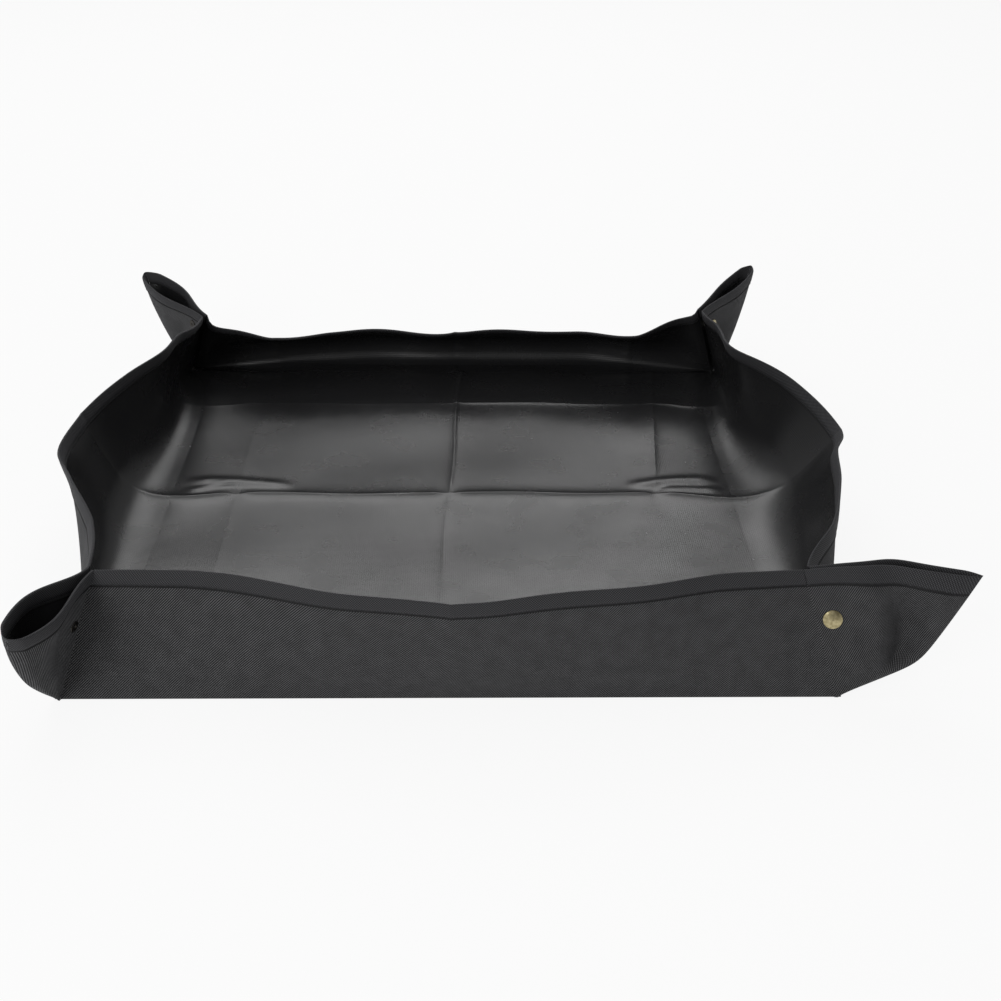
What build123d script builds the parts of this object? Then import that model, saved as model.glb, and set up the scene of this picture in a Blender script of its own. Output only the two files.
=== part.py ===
from build123d import *
import os
from math import asin, atan2, cos, degrees, pi, radians, sin

# Foldable potting soil tray. One square sheet, black cloth outside and glossy film inside, is raised into
# four walls by pinching each corner into an ear that a press stud holds. Millimetres and degrees, +Z up,
# origin at the middle of the underside. Each wall is drawn as the front one, facing -Y, then turned about Z.

# The cut sheet
sheet_side = 800.0
wall_height = 100.0
cloth_thickness = 0.8
film_thickness = 0.4
hem_width = 13.0
hem_thickness = 0.5
hem_setback = 1.2

# Folds: how the corner creases run, and the room that the folds need
crease_slant = 30.0
crease_setback = 4.0
fold_clearance = 0.2
fold_relief = 1.5
spine_trim = 7.0
crease_gap = 3.0
tip_gap = 0.6

# Lean of each wall along its length, outwards positive, from its left end to its right end seen from outside
wall_leans = {
    "front": (-17, -4, 5, 11, 6, -1, -10),
    "right": (4, 15, 26, 37, 20, -8, -12),
    "rear": (-60, -61, -59, -62, -59, -63, -64),
    "left": (-12, -8, 8, 24, 25, 11, -10),
}

# A slack wall rolls out along the floor before it turns up: how much further out its foot leans than its rim
# in the middle of the wall, how far up the cloth the roll reaches, and the share of the length it spans
wall_roll = {"front": 0, "right": 0, "rear": 96, "left": 0}
roll_height = 50.0
roll_span = 0.98
least_roll = 1e-6

# Each ear, named after the wall whose right end it joins: the share of the corner's turn that lies on that
# wall's leaf, how far each of its two lips bows out, and how far that draws its tip in
ear_turn = {"front": 0.1, "right": 0.42, "rear": 0.5, "left": 0.2}
lip_bow = {"front": 1.5, "right": 9.0, "rear": 12.0, "left": 24.0}
tip_draw = {"front": 0.0, "right": 8.0, "rear": 14.0, "left": 22.0}
bow_start = 0.32

# Press studs
stud_below_rim = 38.0
stud_from_crease = 12.0
cap_diameter = 15.0
cap_height = 2.0
cap_rim_height = 0.8
shank_diameter = 3.6
shank_roll = 0.5
shank_clearance = 0.1
socket_diameter = 12.0
socket_height = 2.4
socket_bore = 6.4
socket_floor = 0.4
flange_diameter = 11.2
flange_thickness = 0.5
ball_diameter = 5.2
ball_height = 2.0
ball_neck = 4.6
post_diameter = 9.2
post_height = 0.8
post_hole = 2.4

# Worked out from the sizes above
deck = cloth_thickness + film_thickness
base_half = sheet_side / 2 - wall_height
crease_foot = base_half - crease_setback
end_lean = -degrees(asin(crease_slant / wall_height))
wall_names = tuple(wall_leans)
wall_steps = 16
tip_along = crease_setback + wall_height - spine_trim
lip_length = crease_slant + tip_along
lip_steps = 6
roll_steps = 8


def lean_at(name, share):
    """Lean of a wall at a share of its length from its left end, on a smooth curve through its leans."""
    leans = (end_lean, *wall_leans[name], end_lean)
    spans = len(leans) - 1
    first = min(int(share * spans), spans - 1)
    step = share * spans - first
    before = leans[max(first - 1, 0)]
    start = leans[first]
    end = leans[first + 1]
    after = leans[min(first + 2, spans)]
    rise = (end - before) / 2
    fall = (after - start) / 2
    bend = 3 * (end - start) - 2 * rise - fall
    twist = 2 * (start - end) + rise + fall
    return start + rise * step + bend * step**2 + twist * step**3


def wall_station(name, share):
    """Where a point of the wall lies at this share of its length: run up from the fold, depth from the film.

    The wall is an arc as far up as its roll reaches, and straight from there to its rim.
    """
    side = 2 * share - 1
    rim_lean = radians(lean_at(name, share))
    roll = max(least_roll, radians(wall_roll[name]) * (1 - (side / roll_span) ** 4))
    foot_lean = rim_lean + roll
    radius = roll_height / roll

    def place(run, depth):
        lean = rim_lean + roll * max(0.0, 1 - run / roll_height)
        straight = max(0.0, run - roll_height)
        along = side * (crease_foot - crease_slant * run / wall_height)
        out = base_half + radius * (cos(lean) - cos(foot_lean)) + straight * sin(lean) + depth * cos(lean)
        up = deck + radius * (sin(foot_lean) - sin(lean)) + straight * cos(lean) - depth * sin(lean)
        return Vector(along, -out, up)

    return place


class Leaf:
    """One of the two triangles of an ear, hinged on its wall's end crease along the cloth's outer face."""

    def __init__(self, name, hand):
        place = wall_station(name, (1 + hand) / 2)
        self.foot = place(0, deck)
        self.up = (place(wall_height, deck) - self.foot).normalized()
        self.wall_out = (place(0, deck) - place(0, 0)).normalized()
        self.away = self.up.cross(self.wall_out).normalized() * hand

    def fold(self, angle):
        """Turn the leaf outwards from its wall's plane."""
        self.angle = angle
        turn = radians(angle)
        self.across = self.away * cos(turn) + self.wall_out * sin(turn)
        self.inside = self.away * sin(turn) - self.wall_out * cos(turn)

    def point(self, along, run):
        """A point on the unbowed leaf from its place in the flat pattern, beyond the crease foot."""
        length = (crease_slant**2 + wall_height**2) ** 0.5
        rise = (wall_height * run - crease_slant * along) / length
        reach = (wall_height * along + crease_slant * run) / length
        return self.foot + self.up * rise + self.across * (reach + fold_clearance)

    def lip(self, share):
        """A point of the rim, from the crease to the tip, with the lip bowed outwards past the stud."""
        along = share * (tip_along - self.draw) - (1 - share) * crease_slant
        past = max(0.0, share - bow_start) / (1 - bow_start)
        return self.point(along, wall_height) - self.inside * self.bow * sin(pi * past) ** 2

    def station(self, share):
        """Where a point lies on the straight line from the corner to this share of the lip."""
        corner = self.point(0, 0)
        small = 0.01
        rim = self.lip(share) - corner
        rim_step = self.lip(min(share + small, 1)) - self.lip(max(share - small, 0))
        inward = rim.cross(rim_step).normalized()
        if inward.dot(self.inside) < 0:
            inward = inward * -1

        def place(run, depth):
            return corner + rim * (run / wall_height) + inward * depth

        return place

    def stud_place(self):
        """The press stud's middle on the outer face."""
        length = (crease_slant**2 + wall_height**2) ** 0.5
        run = wall_height - stud_below_rim
        rise = (run - stud_from_crease * crease_slant / length) * length / wall_height
        return self.foot + self.up * rise + self.across * (stud_from_crease + fold_clearance)

    def stud_plane(self, place):
        """Plane on the outer face, facing out, level with a place on either leaf."""
        origin = place - self.inside * (place - self.foot).dot(self.inside)
        return Plane(origin=origin, x_dir=self.across, z_dir=self.inside * -1)


def turned(vector, quarter):
    """A vector of the front wall's drawing, turned to the wall that is this many quarters round."""
    return vector.rotate(Axis.Z, 90 * quarter)


def closed_ear(index):
    """The two leaves of the ear at a wall's right end, folded until their tips nearly meet."""
    name = wall_names[index]
    leaf = Leaf(name, 1)
    other = Leaf(wall_names[(index + 1) % 4], -1)
    other_away = turned(other.away, 1)
    corner_turn = leaf.away.get_angle(other_away)
    apart = turned(other.foot, 1) - leaf.foot
    share = ear_turn[name]
    leaf.fold(corner_turn * share)
    room = abs(apart.dot(leaf.inside)) - 2 * (deck + hem_thickness) - tip_gap
    toe = degrees(atan2(room / 2, wall_height))
    leaf.fold(corner_turn * share + toe)
    other.fold(corner_turn * (1 - share) + toe)
    leaf.bow = other.bow = lip_bow[name]
    leaf.draw = other.draw = tip_draw[name]
    return leaf, other


def sheet(stations, corners):
    """Thin solid through one small outline, given as (run, depth) corners, set at each station."""
    outlines = [Wire.make_polygon([place(run, depth) for run, depth in corners]) for place in stations]
    return Solid.make_loft(outlines, ruled=True)


def layer(stations, foot, inner, outer, relief=0.0, steps=0):
    """A layer of the sheet between two depths, from fold or corner to rim, with steps below the hem."""
    low = wall_height - hem_width

    def face(depth):
        start = foot + relief * depth
        bends = [start + (low - start) * step / steps for step in range(1, steps + 1)]
        return [(run, depth) for run in (start, *bends, wall_height)]

    return sheet(stations, face(inner) + face(outer)[::-1])


def hem(stations):
    """Binding folded over the rim: one band on each face and a turn over the edge."""
    low = wall_height - hem_width
    top = wall_height + hem_thickness
    corners = [
        (low, -hem_thickness),
        (top, -hem_thickness),
        (top, deck + hem_thickness),
        (low, deck + hem_thickness),
        (low, deck),
        (wall_height, deck),
        (wall_height, 0),
        (low, 0),
    ]
    return sheet(stations, corners)


def turned_profile(points):
    """Solid of revolution about Z from (radius, height) points."""
    outline = Polyline(*[(radius, 0, height) for radius, height in points], close=True)
    return revolve(make_face(outline), Axis.Z)


def stud_cap():
    """Domed brass cap with its shank, seated on the cloth at height 0."""
    radius = cap_diameter / 2
    edge = radius - cap_rim_height / 4
    dome = TangentArc((0, 0, cap_height), (edge, 0, cap_rim_height), tangent=(1, 0, 0))
    side = Polyline(
        dome @ 1,
        (radius, 0, cap_rim_height / 2),
        (edge, 0, 0),
        (shank_diameter / 2, 0, 0),
        (shank_diameter / 2, 0, -deck - shank_roll),
        (0, 0, -deck - shank_roll),
        dome @ 0,
    )
    return revolve(make_face(dome + side), Axis.Z)


def stud_socket():
    """Spring socket on the film, under the cap: a cup whose mouth takes the stud's ball."""
    radius = socket_diameter / 2
    hole = shank_diameter / 2 + shank_clearance
    return turned_profile([
        (hole, -deck),
        (radius, -deck),
        (radius, -deck - socket_height / 2),
        (radius - socket_height / 4, -deck - socket_height),
        (socket_bore / 2, -deck - socket_height),
        (socket_bore / 2, -deck - socket_floor),
        (hole, -deck - socket_floor),
    ])


def stud_ball():
    """Stud on the film of the facing leaf: a flange with a waisted ball that snaps into the socket."""
    hole = shank_diameter / 2 + shank_clearance
    waist = -deck - flange_thickness
    return turned_profile([
        (hole, -deck),
        (flange_diameter / 2, -deck),
        (flange_diameter / 2, waist),
        (ball_neck / 2, waist),
        (ball_diameter / 2, waist - ball_height / 2),
        (ball_neck / 2, waist - ball_height),
        (hole, waist - ball_height),
    ])


def stud_post():
    """Open ring on the outer face, with the shank that carries the stud."""
    foot = -deck - flange_thickness - shank_roll
    return turned_profile([
        (post_hole / 2, post_height / 2),
        (shank_diameter / 2, post_height),
        (post_diameter / 2 - post_height / 2, post_height),
        (post_diameter / 2, 0),
        (shank_diameter / 2, 0),
        (shank_diameter / 2, foot),
        (post_hole / 2, foot),
    ])


def wall_stack(name):
    """Cloth, film and hem of one wall; the hem stops short of the corner creases."""
    inset = hem_setback / (2 * (crease_foot - crease_slant))
    inner_shares = [step / wall_steps for step in range(1, wall_steps)]
    shares = [0, inset, *inner_shares, 1 - inset, 1]
    stations = [wall_station(name, share) for share in shares]
    steps = roll_steps if wall_roll[name] else 0
    return {
        f"wall_{name}_film": layer(stations, 0, 0, film_thickness, fold_relief, steps),
        f"wall_{name}_cloth": layer(stations, 0, film_thickness, deck, fold_relief, steps),
        f"wall_{name}_hem": hem(stations[1:-1]),
    }


def leaf_stack(label, leaf, stud_plane):
    """Cloth, film and hem of one leaf of an ear, pierced for the stud's shank."""
    bowed_shares = [bow_start + (1 - bow_start) * step / lip_steps for step in range(lip_steps + 1)]
    shares = [0, hem_setback / lip_length, *bowed_shares]
    stations = [leaf.station(share) for share in shares]
    bore = stud_plane * Cylinder(shank_diameter / 2 + shank_clearance, 4 * deck)
    return {
        f"leaf_{label}_cloth": layer(stations, crease_gap, 0, cloth_thickness) - bore,
        f"leaf_{label}_film": layer(stations, crease_gap, cloth_thickness, deck) - bore,
        f"leaf_{label}_hem": hem(stations[1:]),
    }


def floor_stack():
    """The sheet's base, cloth below and film above."""
    side = 2 * (base_half - fold_clearance)
    base = Align.CENTER, Align.CENTER, Align.MIN
    return {
        "floor_cloth": Box(side, side, cloth_thickness, align=base),
        "floor_film": Pos(0, 0, cloth_thickness) * Box(side, side, film_thickness, align=base),
    }


def build():
    """Every node of the tray by name."""
    nodes = floor_stack()
    for index, name in enumerate(wall_names):
        following = wall_names[(index + 1) % 4]
        leaf, other = closed_ear(index)
        cap_plane = leaf.stud_plane(leaf.stud_place())
        post_plane = other.stud_plane(turned(leaf.stud_place(), -1))
        here = wall_stack(name)
        here.update(leaf_stack(f"{name}_right", leaf, cap_plane))
        here[f"stud_{name}_cap"] = cap_plane * stud_cap()
        here[f"stud_{name}_socket"] = cap_plane * stud_socket()
        there = leaf_stack(f"{following}_left", other, post_plane)
        there[f"stud_{name}_ball"] = post_plane * stud_ball()
        there[f"stud_{name}_post"] = post_plane * stud_post()
        nodes.update({node: piece.rotate(Axis.Z, 90 * index) for node, piece in here.items()})
        nodes.update({node: piece.rotate(Axis.Z, 90 * (index + 1)) for node, piece in there.items()})
    return nodes


os.makedirs("parts", exist_ok=True)
tray = build()
for node, piece in tray.items():
    piece.label = node
    export_step(piece, f"parts/{node}.step")
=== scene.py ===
import math
from types import SimpleNamespace

import bpy
import numpy as np
from mathutils import Matrix


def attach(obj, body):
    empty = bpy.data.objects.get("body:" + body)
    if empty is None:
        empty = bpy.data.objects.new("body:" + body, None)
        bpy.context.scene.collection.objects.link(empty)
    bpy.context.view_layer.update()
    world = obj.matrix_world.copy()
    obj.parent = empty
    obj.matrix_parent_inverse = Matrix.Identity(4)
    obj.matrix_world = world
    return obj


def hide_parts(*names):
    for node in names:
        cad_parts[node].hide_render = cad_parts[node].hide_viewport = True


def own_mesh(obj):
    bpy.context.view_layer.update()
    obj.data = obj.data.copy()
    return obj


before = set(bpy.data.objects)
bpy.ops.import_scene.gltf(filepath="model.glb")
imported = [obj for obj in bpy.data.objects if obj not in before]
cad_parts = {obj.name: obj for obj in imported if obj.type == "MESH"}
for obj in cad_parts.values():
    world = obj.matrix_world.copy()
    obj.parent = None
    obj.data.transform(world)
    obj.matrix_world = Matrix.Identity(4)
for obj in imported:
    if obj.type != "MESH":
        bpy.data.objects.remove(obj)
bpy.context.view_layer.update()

# Floor of the tray: the middle of one square sheet, black Oxford cloth with a glossy film laminated to its
# inner face. It was packed folded in four each way, so creases cross it every 200 mm. It lies loose on the
# ground. All sizes are in millimetres and are turned to metres when a mesh is made.
MM = 0.001
base_half = 300.0
cloth_thickness = 0.8
film_thickness = 0.4
deck = cloth_thickness + film_thickness
crease_step = 200.0
packing_creases = np.array([-crease_step, 0.0, crease_step])
fold_round = {"front": 12.0, "right": 30.0, "rear": 8.0, "left": 30.0}
fold_least = 1.5
floor_lap = 0.9
floor_step = 4.0
sharp_turn = math.radians(50)
band_repeat = 0.31416
wave_height = 0.35
floor_waves = ((33, 61, 0), (47, -29, 2), (math.inf, 23, 1), (19, math.inf, 4))
floor_tucks = (
    ((-265, 34), (-140, 14), 7, 2.4),
    ((166, 16), (265, 40), 7, 2.2),
    ((-262, 12), (-200, 22), 5, 1.4),
    ((200, 8), (265, 18), 5, 1.6),
)


def linear(code):
    """Linear colour of an sRGB hex value: a straight foot below 0.04045 and a power of 2.4 above it."""
    srgb = np.array([int(code[place:place + 2], 16) for place in (1, 3, 5)]) / 255
    value = np.where(srgb <= 0.04045, srgb / 12.92, ((srgb + 0.055) / 1.055) ** 2.4)
    return (*value.tolist(), 1.0)


def add_node(tree, kind, inputs=None, **settings):
    """Adds one shader node with its settings, and fills its inputs with values or links from other nodes."""
    made = tree.nodes.new("ShaderNode" + kind)
    for name, value in settings.items():
        setattr(made, name, value)
    for name, value in (inputs or {}).items():
        if isinstance(value, bpy.types.NodeSocket):
            tree.links.new(value, made.inputs[name])
        else:
            made.inputs[name].default_value = value
    return made


def maths(tree, operation, *values):
    """Result of one operation on values or node outputs."""
    return add_node(tree, "Math", dict(enumerate(values)), operation=operation).outputs[0]


def remap(tree, value, new, old=(0.0, 1.0)):
    """Turns one range of values into another, held at its ends."""
    return add_node(tree, "MapRange", {
        "Value": value, "From Min": old[0], "From Max": old[1], "To Min": new[0], "To Max": new[1],
    }).outputs[0]


def noise(tree, place, size, detail=2.0):
    """Noise whose spots are about a size in millimetres across."""
    spots = {"Vector": place, "Scale": 1 / (size * MM), "Detail": detail}
    return add_node(tree, "TexNoise", spots).outputs[0]


def bands(tree, place, pitch, direction, **inputs):
    """Soft bands that repeat at a pitch in millimetres, from what a wave texture of scale 1 repeats at."""
    wave = {"Vector": place, "Scale": band_repeat / (pitch * MM), **inputs}
    return add_node(tree, "TexWave", wave, bands_direction=direction).outputs[1]


def two_tone(tree, value, dark, light, ends=(0.0, 1.0)):
    """Colour that goes from dark to light between two values."""
    ramp = add_node(tree, "ValToRGB", {"Fac": value})
    for element, place, colour in zip(ramp.color_ramp.elements, ends, (dark, light)):
        element.position = place
        element.color = linear(colour)
    return ramp.outputs[0]


def bumps(tree, height, strength, distance):
    """Normals of a surface that stands out by a share of a distance in millimetres."""
    return add_node(tree, "Bump", {
        "Height": height, "Strength": strength, "Distance": distance * MM,
    }).outputs[0]


def blank_material(name):
    """A new material with an empty node tree."""
    material = bpy.data.materials.new(name)
    material.use_nodes = True
    material.node_tree.nodes.clear()
    return material, material.node_tree


def cover(tree, inputs):
    """Makes a principled shader with these inputs the material's surface."""
    shade = add_node(tree, "BsdfPrincipled", inputs).outputs[0]
    add_node(tree, "OutputMaterial", {"Surface": shade})


def add_object(name, data):
    """A new object with this mesh, lamp or camera, linked into the scene."""
    made = bpy.data.objects.new(name, data)
    bpy.context.collection.objects.link(made)
    return made


def make_piece(name, points, faces, uv, material):
    """Puts points, quads and one UV per point, all in millimetres, into a new mesh object at the origin. It
    is smooth but for its sharpest edges."""
    mesh = bpy.data.meshes.new(name)
    mesh.from_pydata((points * MM).tolist(), [], faces.tolist())
    corners = (uv * MM)[faces].astype(np.float32)
    mesh.uv_layers.new(name="cloth").data.foreach_set("uv", corners.ravel())
    mesh.polygons.foreach_set("use_smooth", np.ones(len(faces), bool))
    mesh.set_sharp_from_angle(angle=sharp_turn)
    mesh.materials.append(material)
    mesh.update()
    return add_object(name, mesh)


def skin(name, outer, inner, u, v, material):
    """Closed skin of a thin layer: the outer grid of points, the inner grid facing the other way, and a strip
    of quads that joins them round their four edges. The side away from the inner grid is the outside."""
    rows, columns = outer.shape[:2]
    count = rows * columns
    index = np.arange(count).reshape(rows, columns)
    quads = np.stack([index[:-1, :-1], index[1:, :-1], index[1:, 1:], index[:-1, 1:]], -1).reshape(-1, 4)
    ring = np.concatenate([index[:-1, 0], index[-1, :-1], index[:0:-1, -1], index[0, :0:-1]])
    onward = np.roll(ring, -1)
    edge = np.stack([onward, ring, ring + count, onward + count], -1)
    faces = np.concatenate([quads, quads[:, ::-1] + count, edge])
    down = outer[1:, :-1] - outer[:-1, :-1]
    over = outer[:-1, 1:] - outer[:-1, :-1]
    if np.sum(np.cross(down, over) * (outer - inner)[:-1, :-1]) < 0:
        faces = faces[:, ::-1]
    points = np.concatenate([outer.reshape(-1, 3), inner.reshape(-1, 3)])
    flat = np.stack(np.broadcast_arrays(u, v), -1).reshape(-1, 2)
    return make_piece(name, points, faces, np.concatenate([flat, flat]), material)


def smooth(share):
    """Eases from 0 to 1: three times the square less twice the cube, held outside."""
    share = np.clip(share, 0, 1)
    return share * share * (3 - 2 * share)


def spaced(half, step, lines):
    """Positions from -half to half in even steps, with close ones on both sides of each crease line."""
    near = np.array([-5.0, -3.2, -1.8, -0.8, 0.0, 0.8, 1.8, 3.2, 5.0])
    even = np.linspace(-half, half, int(2 * half / step) + 1)
    return np.unique(np.round(np.concatenate([even, (lines[:, None] + near).ravel()]), 3))


def crease(off, height, reach):
    """A packing crease: a peak that falls off exponentially on both sides of its line."""
    return height * np.exp(-np.abs(off) / reach)


def tuck(x, y, start, end, width):
    """A small pulled fold: bell-shaped across the line from start to end, and fading towards both ends."""
    start, end = np.array(start), np.array(end)
    length = np.linalg.norm(end - start)
    way = (end - start) / length
    along = ((x - start[0]) * way[0] + (y - start[1]) * way[1]) / length
    off = (x - start[0]) * -way[1] + (y - start[1]) * way[0]
    return np.exp(-(off / width) ** 2) * smooth(along * 4) * smooth((1 - along) * 4)


def floor_relief(x, y):
    """Height of the creased floor above the ground: the packing creases, the middle one lower where it meets
    the others and some of them lower on one side, bell-shaped tucks beside the middle one, and slow sines."""
    wander = 1.3 * np.sin(x / 63) + 0.8 * np.sin(x / 27 + 1)
    off_crossing = (x + crease_step / 2) % crease_step - crease_step / 2
    knots = 1 - 0.75 * np.exp(-(off_crossing / 9) ** 2)
    middle = knots * crease(y - wander, 2.6, 6.5)
    across = crease(x - 1.2 * np.sin(y / 40), 2.0, 4) * (0.45 + 0.55 * smooth((y + 40) / 80))
    quarters = crease(x - crease_step, 1.1, 6) * smooth(y / 60) + crease(x + crease_step, 0.25, 6)
    row_off = y - crease_step - 1.5 * np.sin(x / 34)
    rows = crease(row_off, 1.5, 4.5) * (0.3 + 0.7 * smooth((x + 20) / 40))
    tucks = sum(height * tuck(x, y, start, end, width) for start, end, width, height in floor_tucks)
    waves = wave_height * sum(1 + np.sin(x / long + y / wide + phase) for long, wide, phase in floor_waves)
    return middle + across + quarters + rows + tucks + waves


def fold_fade(x, y):
    """How much of the floor's relief is left near the base folds, where the wall's film takes it over."""
    room = {"front": base_half + y, "right": base_half - x, "rear": base_half - y, "left": base_half + x}
    return math.prod(smooth(room[name] / (fold_round[name] + fold_least)) for name in room)


# Laminated PVC film: calendered smooth, so it mirrors softly; the weave behind it prints through as a faint
# grid, and handling leaves it duller in patches.
print_pitch = 1.9
film_finish, tree = blank_material("calendered black PVC film")
grid = add_node(tree, "UVMap").outputs[0]
weave = maths(tree, "MULTIPLY", bands(tree, grid, print_pitch, "X"), bands(tree, grid, print_pitch, "Y"))
peel = maths(tree, "ADD", noise(tree, grid, 4, 3.0), weave)
cover(tree, {
    "Base Color": linear("#252526"), "IOR": 1.5, "Normal": bumps(tree, peel, 0.3, 0.2),
    "Roughness": remap(tree, noise(tree, grid, 45, 3.0), (0.2, 0.3), (0.3, 0.7)),
})

# Oxford cloth: dull black polyester in a twill. Its ribs are under a millimetre apart; they are drawn a
# little coarser so that the weave shows. The colour carries painted highlights on the crowns of the yarns and
# painted shade in the gaps between them.
rib_pitch = 1.45
yarn_pitch = 1.15
cloth_finish, tree = blank_material("black polyester Oxford cloth")
grid = add_node(tree, "UVMap").outputs[0]
slant = add_node(tree, "Mapping", {"Vector": grid, "Rotation": (0, 0, math.radians(45))}).outputs[0]
uneven = {"Distortion": 0.5, "Detail": 1.0, "Detail Scale": 0.3}
rib = maths(tree, "POWER", bands(tree, slant, rib_pitch, "X", **uneven), 1.6)
yarn = remap(tree, bands(tree, grid, yarn_pitch, "Y"), (0.6, 1.0))
crown = maths(tree, "MULTIPLY", rib, yarn)
slub = remap(tree, noise(tree, grid, 12, 5.0), (0.84, 1.16), (0.3, 0.7))
# The colour runs from the painted shade of the gaps to the painted highlight on the yarn crowns.
cover(tree, {
    "Base Color": two_tone(tree, maths(tree, "MULTIPLY", crown, slub), "#030304", "#7a7a7c"),
    "Roughness": 0.8, "Specular IOR Level": 0.3, "Normal": bumps(tree, crown, 0.9, 0.4),
    "Sheen Weight": 0.12, "Sheen Roughness": 0.5, "Sheen Tint": linear("#808085"),
})

# The creases stray a little from the even steps: each line's shift in millimetres, and its slant.
crease_knots = (-base_half, *packing_creases, base_half)
column_shift = (0, -8, -4, -4, 0)
column_slant = (0, 0, 0.038, 0.105, 0)
row_shift = (0, 0, 7.5, 8, 0)
stray_fade = 60.0
column = spaced(base_half + floor_lap, floor_step, packing_creases)[None, :]
row = spaced(base_half + floor_lap, floor_step, packing_creases)[:, None]
inland = smooth((base_half - fold_round["left"] - 2 - np.abs(column)) / stray_fade)
stray = np.interp(column, crease_knots, column_shift) + np.interp(column, crease_knots, column_slant) * row
floor_x = column + inland * stray
floor_y = row + inland * np.interp(row, crease_knots, row_shift)
relief = floor_relief(column, row) * fold_fade(column, row)
floor_under, floor_between, floor_top = (
    np.stack(np.broadcast_arrays(floor_x, floor_y, relief + level), -1)
    for level in (0.0, cloth_thickness, deck)
)
floor_cloth = skin("floor_oxford", floor_under, floor_between, floor_x, floor_y, cloth_finish)
floor_film = skin("floor_lining", floor_top, floor_between, floor_x, floor_y, film_finish)
for piece, node, slot in (
    (floor_cloth, "floor_cloth", "twill_cloth"), (floor_film, "floor_film", "film_lining"),
):
    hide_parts(node)
    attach(piece, "floor")

# Walls: the four sides of the same sheet, folded up along the floor's edges. Each keeps the lean that the
# pinched corners and the packing creases give it, in degrees at even steps along it. The slack rear one
# rolls out on the ground before it turns up, and the rear corners settle down their creases.
wall_names = ("front", "right", "rear", "left")
wall_height = 100.0
crease_slant = 30.0
crease_setback = 4.0
crease_foot = base_half - crease_setback
end_lean = -math.asin(crease_slant / wall_height)
wall_leans = {
    "front": (-17, -4, 5, 11, 6, -1, -10),
    "right": (4, 15, 26, 37, 20, -8, -12),
    "rear": (-60, -61, -59, -62, -59, -63, -64),
    "left": (-12, -8, 8, 24, 25, 11, -10),
}
wall_roll = {"front": 0.0, "right": 0.0, "rear": 150.0, "left": 0.0}
roll_height = 50.0
roll_span = 0.98
wall_belly = {"front": 4.0, "right": 3.0, "rear": 0.0, "left": 3.0}
wave_phase = {"front": 0.0, "right": 1.7, "rear": 3.1, "left": 4.4}
ripple_fade = 60.0
corner_sink = {"front": 0.0, "right": 0.1, "rear": 0.22, "left": 0.0}
end_sink = {
    name: (corner_sink[name], corner_sink[wall_names[place - 1]]) for place, name in enumerate(wall_names)
}
settle_span = {"front": 0.4, "right": 0.5, "rear": 0.3, "left": 0.5}
slump = {"front": (0, 0), "right": (0, 0), "rear": (0.15, 0.09), "left": (0, 0)}
slump_place = 0.07
film_lift = 0.05
layer_gap = 0.02


def smooth_through(values, share):
    """Smooth curve through evenly spaced values: on each span a cubic whose end slopes are half the rise
    between the neighbours on either side."""
    values = np.asarray(values, float)
    spans = len(values) - 1
    first = np.clip((share * spans).astype(int), 0, spans - 1)
    step = share * spans - first
    before, start = values[np.maximum(first - 1, 0)], values[first]
    end, after = values[first + 1], values[np.minimum(first + 2, spans)]
    rise, fall = (end - before) / 2, (after - start) / 2
    square = 3 * (end - start) - 2 * rise - fall
    cube = 2 * (start - end) + rise + fall
    return start + rise * step + square * step**2 + cube * step**3


def unit(vectors):
    """The same directions at length 1."""
    return vectors / np.linalg.norm(vectors, axis=-1, keepdims=True)


def turned(points, quarter):
    """Points of the front wall's drawing, turned about the middle of the tray by quarter turns."""
    cosine, sine = ((1, 0), (0, 1), (-1, 0), (0, -1))[quarter % 4]
    x, y, z = points[..., 0], points[..., 1], points[..., 2]
    return np.stack([cosine * x - sine * y, sine * x + cosine * y, z], -1)


def wall_along(side, run):
    """How far along a wall a point lies at a side from -1 to 1, between creases that come in up the cloth."""
    return side * (crease_foot - crease_slant * run / wall_height)


def wall_ripple(name, along, run):
    """How far the cloth stands out from its plain form: a belly half way up, the packing creases, and waves
    that grow towards the rim. It is nothing at the fold and at both ends."""
    rise = np.clip(run / wall_height, 0, 1)
    ends = smooth((crease_foot - crease_slant * rise - np.abs(along)) / ripple_fade)
    belly = wall_belly[name] * np.sin(math.pi * rise)
    middle = crease(along, 1.6, 7)
    quarters = crease(np.abs(along) - crease_step, 0.8, 8)
    phase = wave_phase[name]
    waves = 1.4 * np.sin(along / 19 + phase) + 1.2 * np.sin(along / 31 - run / 40 + 2 * phase)
    return ends * smooth(rise * 4) * (belly + middle * rise - quarters + waves * rise)


def sunk(points, index, hand, amount):
    """Points that settle down the crease at one end of a wall: each moves along the crease, towards its foot,
    by an amount of its height. That is its distance up the crease or what the crease needs to reach it, the
    lesser."""
    foot = turned(np.array([hand * crease_foot, -base_half, deck]), index)
    top = np.array([-hand * crease_slant, crease_slant, wall_height * math.cos(end_lean)])
    way = unit(turned(top, index))
    height = np.minimum((points - foot) @ way, (points[..., 2] - foot[2]) / way[2])
    return points - (amount * np.clip(height, 0, None))[..., None] * way


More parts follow.
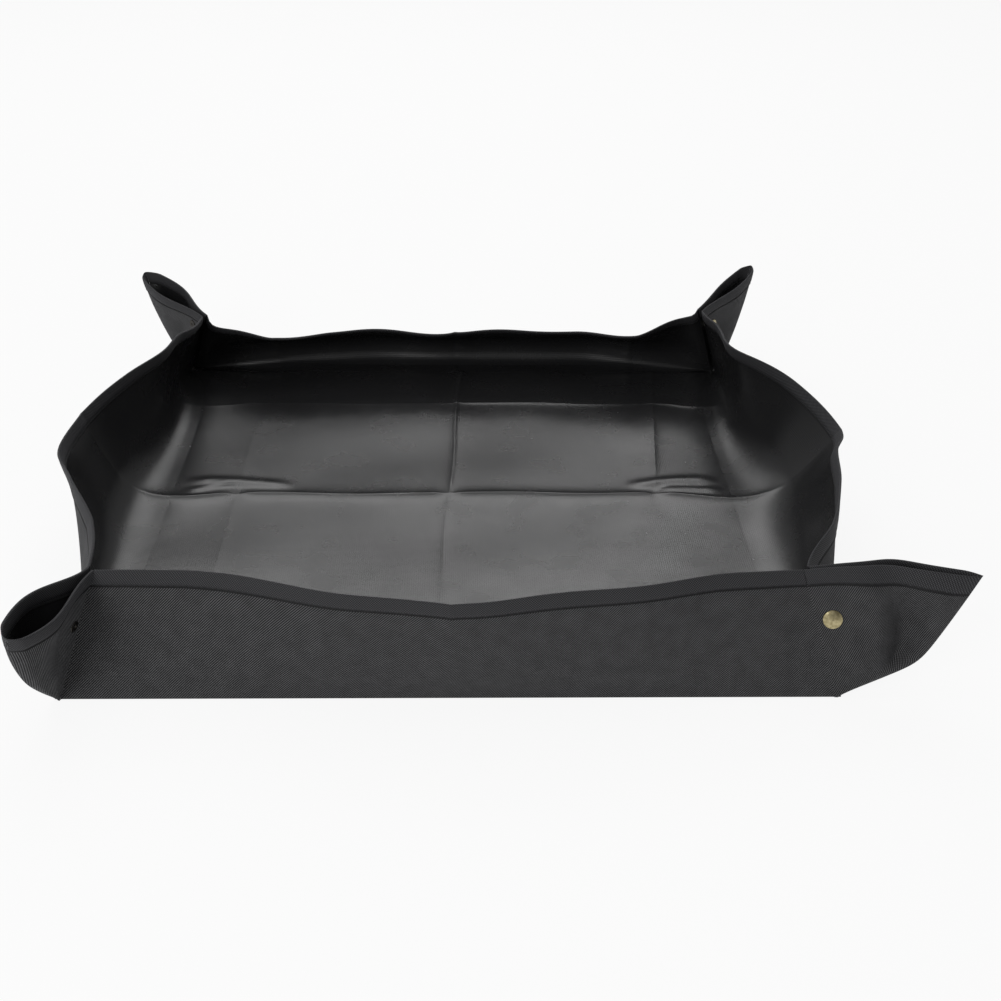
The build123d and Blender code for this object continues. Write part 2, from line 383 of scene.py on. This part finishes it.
def wall_point(name, side, run, depth):
    """Point of a wall at side -1 to 1 along it, run up the cloth and depth out from the film. As far up as
    the roll reaches, the section is an arc whose lean falls evenly, and above that it is straight. The ends
    settle by an eased share, and the cloth beside them by a hump that rises fast and dies away slowly."""
    side, run, depth = np.broadcast_arrays(side, run, depth)
    along = wall_along(side, run)
    leans = (end_lean, *np.radians(wall_leans[name]), end_lean)
    rim_lean = smooth_through(leans, (side + 1) / 2)
    roll = np.maximum(1e-6, math.radians(wall_roll[name]) * (1 - (side / roll_span) ** 4))
    foot_lean = rim_lean + roll
    lean = rim_lean + roll * np.clip(1 - run / roll_height, 0, None)
    straight = np.clip(run - roll_height, 0, None)
    depth = depth + wall_ripple(name, along, run)
    arc = roll_height / roll
    out = arc * (np.cos(lean) - np.cos(foot_lean)) + straight * np.sin(lean) + depth * np.cos(lean)
    up = arc * (np.sin(foot_lean) - np.sin(lean)) + straight * np.cos(lean) - depth * np.sin(lean)
    points = np.stack([along, -base_half - out, deck + up], -1)
    for hand, sink, drop in zip((1, -1), end_sink[name], slump[name]):
        from_end = 1 - hand * side
        hump = from_end / slump_place * np.exp(1 - from_end / slump_place)
        points = sunk(points, 0, hand, sink * smooth(1 - from_end / settle_span[name]) + drop * hump)
    return points


def fold_turn(name, side, turn, depth):
    """Cloth bent round the base fold: an arc about the fold line, from straight down at turn 0 to the wall's
    own outward direction at turn 1."""
    side, turn, depth = np.broadcast_arrays(side, turn, depth)
    foot = wall_point(name, side, 0.0, 0.0)
    face = wall_point(name, side, 0.0, 1.0) - foot
    end = np.arctan2(-face[..., 2], -face[..., 1])
    angle = math.pi / 2 + (end - math.pi / 2) * turn
    return foot + np.stack([0 * angle, -depth * np.cos(angle), -depth * np.sin(angle)], -1)


def fold_radius(name, side):
    """How far from the base fold the film leaves the floor: widest along the wall, and tight at its ends."""
    return fold_least + fold_round[name] * (1 - side**6)


def film_round(name, side, turn, depth):
    """Film eased over the base fold: a parabola from the floor to the wall, through points weighted by the
    squares of turn and of what is left of it, with the fold line as its middle weight. It starts level, on
    the floor's relief."""
    side, turn, depth = np.broadcast_arrays(side, turn, depth)
    radius = fold_radius(name, side)
    fold = wall_point(name, side, 0.0, 0.0)
    floor = fold + np.stack([0 * side, radius, film_lift + 0 * side], -1)
    spot = turned(floor, wall_names.index(name))
    floor[..., 2] += floor_relief(spot[..., 0], spot[..., 1]) * smooth((1 - side**2) * 20)
    wall = wall_point(name, side, radius, 0.0)
    fold[..., 2] = floor[..., 2]
    weight = turn[..., None]
    line = (1 - weight) ** 2 * floor + 2 * weight * (1 - weight) * fold + weight**2 * wall
    out = wall_point(name, side, radius, 1.0) - wall
    return line + depth[..., None] * unit((1 - weight) * np.array([0, 0, -1.0]) + weight * out)


# Lines of the walls' grids, closer beside the packing creases. Half way up, a wall reaches about this far on
# each side of its middle.
half_up = 280.0
beside = np.linspace(-0.03, 0.03, 11)
wall_sides = np.concatenate([np.linspace(-1, 1, 141), (packing_creases[:, None] / half_up + beside).ravel()])
wall_sides = np.unique(np.round(wall_sides, 4))[None, :]
cloth_turns = np.linspace(0, 0.85, 6)[:, None]
cloth_runs = np.concatenate([np.linspace(0, roll_height, 14), np.linspace(54, wall_height, 13)])[:, None]
film_turns = np.linspace(0, 0.9, 8)[:, None]
film_rises = np.concatenate([np.linspace(0, 0.4, 11), np.linspace(0.45, 1, 12)])[:, None]
wall_pieces = {}
for quarter, name in enumerate(wall_names):
    cloth = [
        turned(np.concatenate([
            fold_turn(name, wall_sides, cloth_turns, depth), wall_point(name, wall_sides, cloth_runs, depth),
        ]), quarter)
        for depth in (deck, film_thickness)
    ]
    cloth_v = np.concatenate([(cloth_turns - 1) * 2, cloth_runs])
    cloth_u = wall_along(wall_sides, np.clip(cloth_v, 0, None))
    outside = skin(f"wall_{name}_oxford", cloth[0], cloth[1], cloth_u, cloth_v, cloth_finish)
    film_foot = fold_radius(name, wall_sides)
    film_runs = film_foot + (wall_height - film_foot) * film_rises
    film = [
        turned(np.concatenate([
            film_round(name, wall_sides, film_turns, depth), wall_point(name, wall_sides, film_runs, depth),
        ]), quarter)
        for depth in (0.0, film_thickness - layer_gap)
    ]
    film_v = np.concatenate([film_foot * (2 * film_turns - 1), film_runs])
    film_u = wall_along(wall_sides, np.clip(film_v, 0, None))
    inside = skin(f"wall_{name}_lining", film[0], film[1], film_u, film_v, film_finish)
    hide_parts(f"wall_{name}_cloth")
    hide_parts(f"wall_{name}_film")
    wall_pieces[name] = [outside, inside]

# Ears: at each corner the sheet is pinched into two triangular leaves, cloth outside and film inside. They
# hinge on the creases at the wall ends and share one folded edge, the spine, out to the sheet's own corner.
# A press stud holds them together. Places on a leaf are shares of its lip and of its rise.
hem_thickness = 0.5
tip_gap = 0.6
ear_turn = {"front": 0.1, "right": 0.42, "rear": 0.5, "left": 0.2}
lip_bow = {"front": (1.5, 1.5), "right": (7.0, 4.0), "rear": (11.0, 10.0), "left": (13.0, 8.0)}
lip_lift = {"front": (8.0, 8.0), "right": (0.0, 0.0), "rear": (0.0, 0.0), "left": (2.0, -5.0)}
tip_draw = {"front": 5.0, "right": 14.0, "rear": 20.0, "left": 28.0}
ear_puff = {"front": 6.0, "right": 2.0, "rear": 2.0, "left": 2.0}
ear_dent = {"front": 17.0, "right": 0.0, "rear": 0.0, "left": 0.0}
spine_belly = {"front": 19.0, "right": 4.0, "rear": 4.0, "left": 3.0}
bow_start = 0.32
held_rise = 0.66
dent_lip = 0.54
dent_slant = 0.6
dent_width = 0.14
closing_share = 0.1
swell_rise = 0.42
swell_power = 6
crease_lap = 0.7
foot_lap = 0.015
film_start = -0.12
lip_reach = crease_setback + wall_height + crease_slant
crease_length = math.hypot(crease_slant, wall_height)


def leaf_frame(index, hand):
    """Foot and directions of the crease at a wall's right or left end, turned to that wall's place."""
    corner = turned(np.stack([
        wall_point(wall_names[index % 4], float(hand), run, depth)
        for run, depth in ((0.0, deck), (wall_height, deck), (0.0, 0.0))
    ]), index)
    up = unit(corner[1] - corner[0])
    wall_out = unit(corner[0] - corner[2])
    away = unit(np.cross(up, wall_out)) * hand
    return SimpleNamespace(foot=corner[0], up=up, wall_out=wall_out, away=away)


def fold_leaf(leaf, angle):
    """Turns a leaf outwards from its wall's plane by an angle in radians."""
    leaf.angle = angle
    leaf.across = leaf.away * math.cos(angle) + leaf.wall_out * math.sin(angle)
    leaf.inside = leaf.away * math.sin(angle) - leaf.wall_out * math.cos(angle)


def on_leaf(leaf, along, run):
    """Point of the flat leaf from its place in the cut sheet: along from the crease foot, run up from the
    base."""
    rise = (wall_height * run - crease_slant * along) / crease_length
    reach = (wall_height * along + crease_slant * run) / crease_length
    return leaf.foot + rise[..., None] * leaf.up + reach[..., None] * leaf.across


def flat_leaf(leaf, share, rise):
    """Point of the unbowed leaf on the line from the base corner to a share of the lip. The bowed lip draws
    the tip in, by a power of the rise."""
    reach = lip_reach - leaf.draw * np.clip(rise, 0, None) ** 1.5
    along = (1 - rise) * crease_setback * share + rise * (reach * share - crease_slant)
    return on_leaf(leaf, along, wall_height * rise)


def bell(share, rise, place, size):
    """Bell-shaped bump round a place on the leaf."""
    return np.exp(-((share - place[0]) / size[0]) ** 2 - ((rise - place[1]) / size[1]) ** 2)


def leaf_bow(leaf, share, rise):
    """How far a leaf stands out from its flat form. Past the stud, and above it from the crease on, it bows
    by a sine that leans to the tip. It puffs out by a bell above and below the stud. A bell-shaped dent runs
    from the lip down to the spine, through both leaves, deepest half way."""
    onset = bow_start * (1 - 0.85 * smooth((rise - held_rise) / 0.3))
    past = np.clip((share - onset) / (1 - onset), 0, 1)
    bow = leaf.bow * np.sin(math.pi * past**1.35) ** (1.4 - 0.9 * past) * np.clip(rise, 0, None)
    upper = bell(share, rise, (0.55, 0.8), (0.2, 0.17))
    lower = 0.8 * bell(share, rise, (0.5, 0.3), (0.2, 0.13))
    dent = np.exp(-((share - dent_lip - dent_slant * (1 - rise)) / dent_width) ** 2)
    dent = dent * smooth((1 - share) / dent_width)
    dent = dent * smooth((rise - 0.25) / 0.2) * (1 - 0.6 * smooth((rise - 0.65) / 0.35))
    return bow + leaf.puff * (upper + lower) - leaf.dent * dent


def leaf_point(leaf, share, rise, depth):
    """Point of a leaf at a share of its lip, at rise up to it and depth in from the cloth. It bows out, and
    its lip lifts by a sine. Towards the spine it swells down, by the lesser of two straight slopes rounded
    into each other, and closes on its partner, half way between their two edges, where its thickness runs
    out."""
    share, rise, depth = np.broadcast_arrays(share, rise, depth)
    closing = np.clip(1 - (1 - share) / closing_share, 0, 1) ** 1.5
    slopes = (rise / swell_rise, (1 - rise) / (1 - swell_rise))
    lesser = sum(np.clip(slope, 0.001, None) ** -swell_power for slope in slopes) ** (-1 / swell_power)
    swell = leaf.belly * lesser * share**2
    lift = leaf.lift * np.sin(math.pi * share) * np.clip(rise, 0, None) ** 2
    middle = (flat_leaf(leaf.partner, 1.0, rise) - flat_leaf(leaf, 1.0, rise)) / 2
    points = (
        flat_leaf(leaf, share, rise)
        + (depth * (1 - closing) - leaf_bow(leaf, share, rise))[..., None] * leaf.inside
        + (swell - lift)[..., None] * leaf.below
        + closing[..., None] * middle
    )
    return sunk(points, *leaf.crease, leaf.sink)


def crease_turn(leaf, turn, rise, depth):
    """Film bent round a crease: an arc about the crease line from just under the wall's film to the leaf's
    side."""
    turn, rise, depth = np.broadcast_arrays(turn, rise, depth)
    angle = film_start + (leaf.angle - film_start) * turn
    facing = np.sin(angle)[..., None] * leaf.away - np.cos(angle)[..., None] * leaf.wall_out
    points = leaf.foot + (crease_length * rise)[..., None] * leaf.up + depth[..., None] * facing
    return sunk(points, *leaf.crease, leaf.sink)


ears = []
for index, name in enumerate(wall_names):
    leaf, other = leaf_frame(index, 1), leaf_frame(index + 1, -1)
    corner_turn = math.acos(float(leaf.away @ other.away))
    fold_leaf(leaf, corner_turn * ear_turn[name])
    room = abs(float((other.foot - leaf.foot) @ leaf.inside)) - 2 * (deck + hem_thickness) - tip_gap
    toe = math.atan2(room / 2, wall_height)
    fold_leaf(leaf, corner_turn * ear_turn[name] + toe)
    fold_leaf(other, corner_turn * (1 - ear_turn[name]) + toe)
    leaf.label, other.label = f"{name}_right", f"{wall_names[(index + 1) % 4]}_left"
    leaf.partner, other.partner = other, leaf
    leaf.crease, other.crease = (index, 1), (index + 1, -1)
    leaf.sink = other.sink = corner_sink[name]
    leaf.draw = other.draw = tip_draw[name]
    leaf.bow, other.bow = lip_bow[name]
    leaf.lift, other.lift = lip_lift[name]
    leaf.puff = other.puff = ear_puff[name]
    leaf.dent, other.dent = ear_dent[name], -ear_dent[name]
    leaf.belly = other.belly = spine_belly[name]
    foot, tip = flat_leaf(leaf, 1.0, np.array([0.0, 1.0]))
    below = unit(np.cross(tip - foot, leaf.inside))
    leaf.below = other.below = below if below[2] < 0 else -below
    ears += [leaf, other]

# Lines of the leaves' grids, closer towards the spine. They start a little under the foot.
leaf_shares = np.concatenate([np.linspace(0, 0.86, 44), 1 - 0.12 * np.linspace(1, 0, 13) ** 2])[None, :]
leaf_rises = np.concatenate([[-foot_lap], np.linspace(0, 1, 41)])[:, None]
leaf_turns = np.linspace(0, 0.85, 6)[None, :]
leaf_pieces = {}
for leaf in ears:
    cloth = [leaf_point(leaf, leaf_shares, leaf_rises, depth) for depth in (0.0, cloth_thickness)]
    steps = np.linalg.norm(np.diff(cloth[0], axis=1, prepend=cloth[0][:, :1]), axis=-1)
    cloth_u = np.cumsum(steps, axis=1)
    cloth_v = (cloth[0] - leaf.foot) @ leaf.up
    for layer in cloth:
        layer[:, 0] -= crease_lap * leaf.across
    outside = skin(f"leaf_{leaf.label}_oxford", cloth[0], cloth[1], cloth_u, cloth_v, cloth_finish)
    film = [
        np.concatenate([
            crease_turn(leaf, leaf_turns, leaf_rises, depth),
            leaf_point(leaf, leaf_shares, leaf_rises, depth),
        ], axis=1)
        for depth in (deck, cloth_thickness + layer_gap)
    ]
    film_u = np.concatenate([cloth_u[:, :1] + leaf_turns - 1, cloth_u], axis=1)
    film_v = np.concatenate([cloth_v[:, :1] + 0 * leaf_turns, cloth_v], axis=1)
    inside = skin(f"leaf_{leaf.label}_lining", film[0], film[1], film_u, film_v, film_finish)
    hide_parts(f"leaf_{leaf.label}_cloth")
    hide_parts(f"leaf_{leaf.label}_film")
    leaf_pieces[leaf.label] = [outside, inside]

# Hem: a strip of the same cloth folded over each raw edge of the sheet and sewn through with one row of
# stitches near its lower edge. The row pulls a groove into the strip. Its section, the same on both faces,
# is given as run up the cloth and height above it, from the sewn edge to the rim.
hem_width = 13.0
hem_setback = 0.4
hem_foot = wall_height - hem_width
stitch_run = hem_foot + 1.8
hem_side = np.array([
    (hem_foot, 0.3), (hem_foot + 0.4, 0.75), (stitch_run - 0.9, 0.8), (stitch_run - 0.3, 0.2),
    (stitch_run + 0.3, 0.2), (stitch_run + 1.0, 0.85), (hem_foot + 5, 1.0), (hem_foot + 9, 0.9),
    (wall_height - 1, 0.55),
])
over_rim = np.linspace(0, math.pi, 9)[1:-1]
rim_middle = wall_height - 0.6
rim_radius = deck / 2 + 0.55
hem_path = np.concatenate([
    np.stack([hem_side[:, 0], -hem_side[:, 1]], -1),
    np.stack([rim_middle + rim_radius * np.sin(over_rim), deck / 2 - rim_radius * np.cos(over_rim)], -1),
    np.stack([hem_side[::-1, 0], deck + hem_side[::-1, 1]], -1),
])
hem_under = np.stack([
    np.minimum(hem_path[:, 0], wall_height - 0.1), np.clip(hem_path[:, 1], -layer_gap, deck + layer_gap),
], -1)
hem_v = np.cumsum(np.hypot(*np.diff(hem_path, axis=0, prepend=hem_path[:1]).T))[:, None]
hem_girth = float(hem_v[-1, 0])

# Binding tape: plain-woven polyester, with painted highlights on its yarn crowns and painted shade that is
# darkest along the sewn edge, where the row of stitches pulls it in.
tape_pitch = 1.9
sewn_edge_shade = (1.3 * MM, 2.6 * MM)
hem_finish, tree = blank_material("black polyester binding tape")
grid = add_node(tree, "UVMap").outputs[0]
over = maths(tree, "SUBTRACT", bands(tree, grid, tape_pitch, "X"), bands(tree, grid, tape_pitch, "Y"))
crown = maths(tree, "ABSOLUTE", over)
across = add_node(tree, "SeparateXYZ", {0: grid}).outputs[1]
# Painted shade: the colour darkens towards both sewn edges, where the stitches pull a groove into the tape.
edge = remap(tree, maths(tree, "PINGPONG", across, hem_girth / 2 * MM), (0.2, 1.0), sewn_edge_shade)
cover(tree, {
    "Base Color": two_tone(tree, maths(tree, "MULTIPLY", crown, edge), "#0b0b0c", "#58585b"),
    "Roughness": 0.75, "Specular IOR Level": 0.3, "Normal": bumps(tree, crown, 0.5, 0.25),
    "Sheen Weight": 0.12, "Sheen Roughness": 0.5, "Sheen Tint": linear("#808085"),
})

# Sewing thread: black polyester, a little glossier than the cloth and mottled by its twist.
thread_finish, tree = blank_material("black polyester sewing thread")
place = add_node(tree, "TexCoord").outputs["Object"]
cover(tree, {"Base Color": two_tone(tree, noise(tree, place, 0.8), "#0d0d0e", "#2a2a2c"), "Roughness": 0.5})

stitch_pitch = 3.3
stitch_half = 1.25
thread_radius = 0.26
thread_lift = 0.28


def stitches(name, sites, ways, facings):
    """One thread loop per stitch: a small closed spindle, six points round and three rings between its two
    ends, laid along its way with its thickness along its facing."""
    turn = np.linspace(0, 2 * math.pi, 7)[:-1]
    rings = np.array([-0.72, 0.0, 0.72])
    girth = np.array([0.75, 1.0, 0.75])
    body = np.stack([
        np.repeat(rings * stitch_half, 6), np.outer(girth, np.cos(turn)).ravel() * thread_radius,
        np.outer(girth, np.sin(turn)).ravel() * thread_radius,
    ], -1)
    shape = np.concatenate([[(-stitch_half, 0, 0)], body, [(stitch_half, 0, 0)]])
    here = 1 + np.arange(6)
    after = np.roll(here, -1)
    sides = np.concatenate([
        np.stack([here + ring, after + ring, after + ring + 6, here + ring + 6], -1) for ring in (0, 6)
    ])
    last = len(shape) - 1
    caps = np.concatenate([
        np.stack([0 * here, after, here], -1), np.stack([0 * here + last, here + 12, after + 12], -1),
    ])
    binormals = np.cross(facings, ways)
    points = (
        sites[:, None] + shape[None, :, :1] * ways[:, None] + shape[None, :, 1:2] * binormals[:, None]
        + shape[None, :, 2:] * facings[:, None]
    )
    offset = len(shape) * np.arange(len(sites))[:, None, None]
    quads, ends = ((part + offset).reshape(-1, part.shape[1]).tolist() for part in (sides, caps))
    mesh = bpy.data.meshes.new(name)
    mesh.from_pydata((points.reshape(-1, 3) * MM).tolist(), [], quads + ends)
    mesh.polygons.foreach_set("use_smooth", np.ones(len(mesh.polygons), bool))
    mesh.materials.append(thread_finish)
    mesh.update()
    return add_object(name, mesh)


def stitch_rows(place, shares, length):
    """Sites, directions and facings of both rows of stitches along a hem, from a function of share and
    depth."""
    count = int(length / stitch_pitch)
    share = shares[0] + (shares[1] - shares[0]) * (np.arange(count) + 0.5) / count
    small = 0.3 * (shares[1] - shares[0]) / count
    parts = []
    for depth, sign in ((-thread_lift, -1.0), (deck + thread_lift, 1.0)):
        site = place(share, depth)
        way = place(share + small, depth) - place(share - small, depth)
        facing = (place(share, depth + 0.1) - site) * sign
        parts.append([site, unit(way), unit(facing)])
    return [np.concatenate(column) for column in zip(*parts)]


rim_half = crease_foot - crease_slant
hem_sides = np.clip(wall_sides, -1 + hem_setback / rim_half, 1 - hem_setback / rim_half)
for quarter, name in enumerate(wall_names):
    outer, inner = (
        turned(wall_point(name, hem_sides, path[:, :1], path[:, 1:]), quarter)
        for path in (hem_path, hem_under)
    )
    hem = skin(f"wall_{name}_binding", outer, inner, hem_sides * rim_half, hem_v, hem_finish)
    rows = stitch_rows(
        lambda side, depth: turned(wall_point(name, side, stitch_run, depth), quarter),
        (-0.99, 0.99), 2 * rim_half)
    thread = stitches(f"wall_{name}_stitches", *rows)
    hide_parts(f"wall_{name}_hem")
    wall_pieces[name] += [hem, thread]

hem_shares = np.concatenate([[hem_setback / lip_reach], leaf_shares[0, 1:]])[None, :]
for leaf in ears:
    outer, inner = (
        leaf_point(leaf, hem_shares, path[:, :1] / wall_height, deck - path[:, 1:])
        for path in (hem_path, hem_under)
    )
    hem = skin(f"leaf_{leaf.label}_binding", outer, inner, hem_shares * lip_reach, hem_v, hem_finish)
    rows = stitch_rows(
        lambda share, depth: leaf_point(leaf, share, stitch_run / wall_height, deck - depth),
        (0.02, 0.9), lip_reach)
    thread = stitches(f"leaf_{leaf.label}_stitches", *rows)
    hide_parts(f"leaf_{leaf.label}_hem")
    leaf_pieces[leaf.label] += [hem, thread]

# How the cloth moves: every piece of a wall or leaf turns with its fold.
for quarter, name in enumerate(wall_names):
    outside, inside, hem, thread = wall_pieces[name]
    for piece in wall_pieces[name]:
        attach(piece, f"wall_{name}")
        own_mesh(piece)
for leaf in ears:
    outside, inside, hem, thread = leaf_pieces[leaf.label]
    for piece in leaf_pieces[leaf.label]:
        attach(piece, f"leaf_{leaf.label}")
        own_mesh(piece)

# Press studs: a domed cap of antique brass, riveted through the cloth to a plated spring socket in the
# pinch, and on the facing leaf a plated ball riveted to a blackened ring outside. Their CAD shapes are kept.

# Antique brass: pale and dull, with soft mottling.
brass_finish, tree = blank_material("antique brass")
mottle = noise(tree, add_node(tree, "TexCoord").outputs["Object"], 2.2, 4.0)
cover(tree, {
    "Base Color": two_tone(tree, mottle, "#8f8462", "#c2b690", (0.3, 0.7)), "Metallic": 1.0,
    "Roughness": 0.34, "Normal": bumps(tree, mottle, 0.12, 0.2),
})

# Nickel-plated spring steel: bright, with stains that dull it in spots.
steel_finish, tree = blank_material("nickel-plated spring steel")
stain = noise(tree, add_node(tree, "TexCoord").outputs["Object"], 3, 3.0)
cover(tree, {
    "Base Color": linear("#b9b6ae"), "Metallic": 1.0, "Roughness": remap(tree, stain, (0.22, 0.4)),
})

# Blackened brass: nearly black, and lighter where it is rubbed.
black_finish, tree = blank_material("blackened brass")
rub = noise(tree, add_node(tree, "TexCoord").outputs["Object"], 1.5, 3.0)
cover(tree, {"Base Color": two_tone(tree, rub, "#1b1a19", "#4d4a45"), "Metallic": 1.0, "Roughness": 0.42})

stud_finishes = {"cap": brass_finish, "socket": steel_finish, "ball": steel_finish, "post": black_finish}
for name in wall_names:
    for part, finish in stud_finishes.items():
        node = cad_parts[f"stud_{name}_{part}"]
        node.data.materials.clear()
        node.data.materials.append(finish)

# Stage: a white ground that keeps a faint shadow, white surroundings that light the tray dimly, and soft
# studio lamps.
ground_reach = 8.0
ground_level = -0.0006
ground_white = 0.9
surround_light = 0.24
ground_finish, tree = blank_material("white paper sweep")
rays = add_node(tree, "LightPath").outputs
seen = maths(tree, "MAXIMUM", rays["Is Camera Ray"], rays["Is Glossy Ray"])
seen = maths(tree, "MAXIMUM", seen, rays["Is Transmission Ray"])
paper = add_node(tree, "BsdfDiffuse", {"Color": linear("#f4f4f4")}).outputs[0]
white = add_node(tree, "Emission", {"Color": (1, 1, 1, 1), "Strength": 1.0}).outputs[0]
both = add_node(tree, "MixShader", {
    0: maths(tree, "MULTIPLY", seen, ground_white), 1: paper, 2: white,
}).outputs[0]
add_node(tree, "OutputMaterial", {"Surface": both})
mesh = bpy.data.meshes.new("ground")
corners = [(-1, -1), (1, -1), (1, 1), (-1, 1)]
mesh.from_pydata([(x * ground_reach, y * ground_reach, ground_level) for x, y in corners], [], [(0, 1, 2, 3)])
mesh.materials.append(ground_finish)
add_object("ground", mesh)

world = bpy.data.worlds.new("white studio")
bpy.context.scene.world = world
world.use_nodes = True
tree = world.node_tree
tree.nodes.clear()
rays = add_node(tree, "LightPath").outputs
seen = maths(tree, "MAXIMUM", rays["Is Camera Ray"], rays["Is Transmission Ray"])
strength = remap(tree, seen, (surround_light, 1.0))
sky = add_node(tree, "Background", {"Color": (1, 1, 1, 1), "Strength": strength}).outputs[0]
add_node(tree, "OutputWorld", {"Surface": sky})


def stand(thing, right, back, place):
    """Puts a lamp or camera at a place in metres, looking away from its back, its right side as given."""
    axes = np.column_stack([right, np.cross(back, right), back, place])
    thing.matrix_world = Matrix(np.vstack([axes, (0, 0, 0, 1)]).tolist())


def rolled(level, back, angle):
    """Right-hand direction turned from level by a roll about the back direction, in degrees."""
    angle = math.radians(angle)
    return math.cos(angle) * level + math.sin(angle) * np.cross(back, level)


for name, place, aim, size, tilt, power in (
    ("side softbox", (-1.3, -2.0, 1.3), (0, 0, 0), (1.2, 1.2), 0, 21),
    ("top softbox", (0.0, 0.3, 2.2), (0, 0, 0), (1.8, 1.8), 0, 10),
    ("rear softbox", (-0.5, 2.5, 2.46), (-0.5, 0, 0.5), (3.2, 1.5), 12, 39),
):
    lamp = bpy.data.lights.new(name, "AREA")
    lamp.shape = "RECTANGLE"
    lamp.size, lamp.size_y = size
    lamp.energy = power
    back = unit(np.array(place) - np.array(aim))
    level = unit(np.cross((0, 0, 1), back))
    stand(add_object(name, lamp), rolled(level, back, tilt), back, place)

# Camera: worked out from the packing creases in the photo. Its place is in millimetres and its angles are in
# degrees.
frame_pixels = 1001
focal_pixels = 1350
camera_place = np.array([7.0, -1121.5, 649.1])
camera_pitch, camera_yaw, camera_roll = 30.01, 1.95, 1.05
pitch, yaw = math.radians(camera_pitch), math.radians(camera_yaw)
back = -np.array([math.sin(yaw) * math.cos(pitch), math.cos(yaw) * math.cos(pitch), -math.sin(pitch)])
level = np.array([math.cos(yaw), -math.sin(yaw), 0.0])
lens = bpy.data.cameras.new("camera")
lens.sensor_width = 36.0
lens.lens = lens.sensor_width * focal_pixels / frame_pixels
camera = add_object("camera", lens)
stand(camera, rolled(level, back, camera_roll), back, camera_place * MM)
bpy.context.scene.camera = camera
bpy.context.scene.view_settings.view_transform = "Standard"
